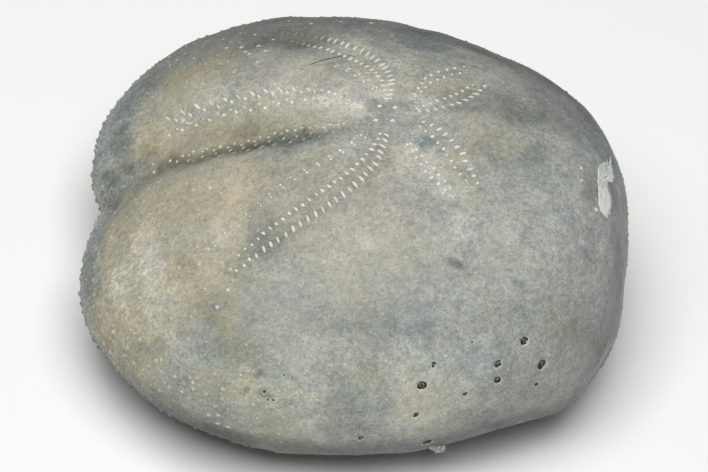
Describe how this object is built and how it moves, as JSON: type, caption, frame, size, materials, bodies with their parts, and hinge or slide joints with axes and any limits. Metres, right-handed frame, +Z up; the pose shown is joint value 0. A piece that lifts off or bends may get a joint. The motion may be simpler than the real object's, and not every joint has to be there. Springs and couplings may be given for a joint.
{
  "type": "fossil sea urchin",
  "caption": "Fossil heart urchin: a domed, heart-shaped stone test with a front groove, sunken petals of pores and fine tubercles, lying on its flat underside.",
  "frame": {"origin": "middle of the bounding box on the plan, at the height of the flat resting face", "axes": "+X towards the blunt rear, front groove at -X, +Z up through the apex"},
  "size_m": [0.0432, 0.0424, 0.0237],
  "materials": {
    "stone": null
  },
  "bodies": {
    "root": {"urchin_test": "stone"}
  },
  "joints": []
}
